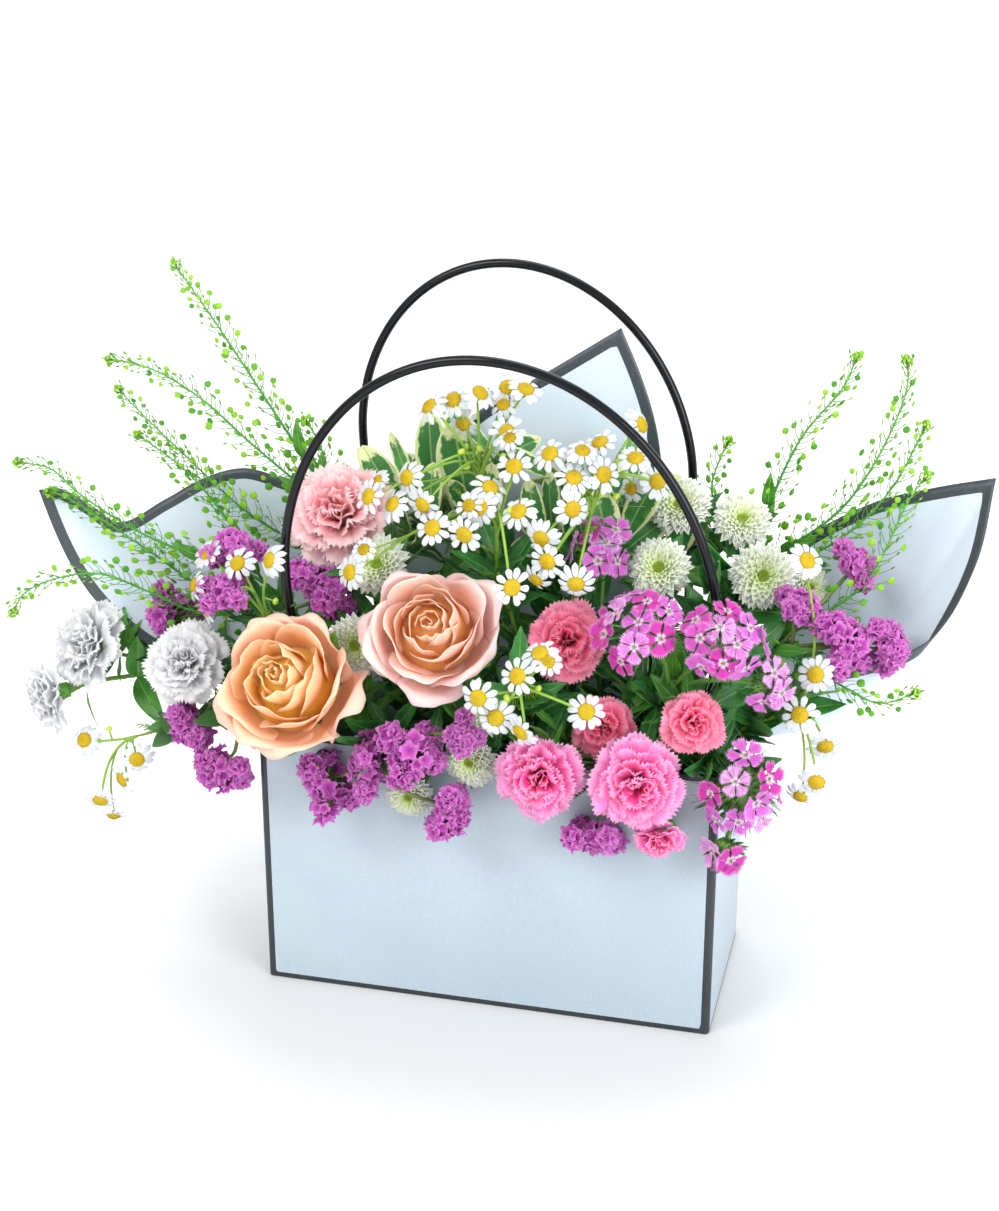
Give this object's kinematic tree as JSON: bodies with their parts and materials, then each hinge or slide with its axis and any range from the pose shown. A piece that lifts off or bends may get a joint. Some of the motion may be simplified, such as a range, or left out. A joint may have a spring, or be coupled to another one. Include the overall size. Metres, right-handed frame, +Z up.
{
  "type": "flower basket arrangement",
  "caption": "Cut flowers with flaring paper sheets in a low rectangular gift bag with dark printed borders and glossy hoop handles.",
  "frame": {"origin": "middle of the bag's flat underside", "axes": "+Z up out of the bag, -Y to the bag's front panel, +X to the right of somebody who faces the front, along the bag's long side"},
  "size_m": [0.5399, 0.1855, 0.3905],
  "materials": {
    "handle": "glossy near-black tube",
    "bag": "satin printed board, pale blue-grey, with a dark printed border",
    "liner": "dark thin plastic",
    "paper": "satin pale paper with a dark printed border",
    "pennycress": "bright green pods and stalks",
    "chamomile": "white petals, yellow disc, lime stalks",
    "rose_apricot": "soft petals, orange-peach heart, pink outside",
    "rose_blush": "soft petals, peach heart, blush outside",
    "carnation_pink": "ruffled petals",
    "carnation_blush": "ruffled petals",
    "carnation_white": "ruffled petals",
    "chrysanthemum": "narrow petals, lime heart",
    "statice": "papery florets on green stalks",
    "sweet_william": "lilac florets over dark green bracts",
    "pittosporum": "waxy variegated leaves",
    "stem": "fresh green stem",
    "foam": "wet green floral foam"
  },
  "bodies": {
    "root": {"handle_front": "handle", "handle_back": "handle", "bag": "bag", "liner": "liner", "paper_left": "paper", "paper_back": "paper", "paper_right": "paper", "pennycress_left_high": "pennycress", "pennycress_left_low": "pennycress", "pennycress_right_high": "pennycress", "pennycress_right_low": "pennycress", "chamomile_top": "chamomile", "chamomile_middle": "chamomile", "chamomile_right": "chamomile", "chamomile_front": "chamomile", "chamomile_left": "chamomile", "chamomile_far_right": "chamomile", "chamomile_low_left": "chamomile", "rose_left": "rose_apricot", "rose_right": "rose_blush", "carnation_front_left": "carnation_pink", "carnation_front_right": "carnation_pink", "carnation_low": "carnation_pink", "carnation_mid_right": "carnation_pink", "carnation_mid_left": "carnation_pink", "carnation_coral": "carnation_pink", "carnation_blush": "carnation_blush", "carnation_white_upper": "carnation_white", "carnation_white_lower": "carnation_white", "carnation_white_near": "carnation_white", "mum_top_left": "chrysanthemum", "mum_top_right": "chrysanthemum", "mum_right": "chrysanthemum", "mum_far_right": "chrysanthemum", "mum_centre": "chrysanthemum", "mum_behind_rose": "chrysanthemum", "mum_between_roses": "chrysanthemum", "mum_under_rose": "chrysanthemum", "mum_front": "chrysanthemum", "mum_low": "chrysanthemum", "statice_left": "statice", "statice_front": "statice", "statice_low": "statice", "statice_right": "statice", "sweet_william_upper": "sweet_william", "sweet_william_top": "sweet_william", "sweet_william_corner": "sweet_william", "pittosporum_left": "pittosporum", "pittosporum_right": "pittosporum", "rose_left_stem": "stem", "rose_right_stem": "stem", "carnation_front_left_stem": "stem", "carnation_mid_right_stem": "stem", "carnation_blush_stem": "stem", "carnation_white_upper_stem": "stem", "mum_top_left_stem": "stem", "mum_right_stem": "stem", "mum_behind_rose_stem": "stem", "mum_under_rose_stem": "stem", "foam": "foam"}
  },
  "joints": []
}
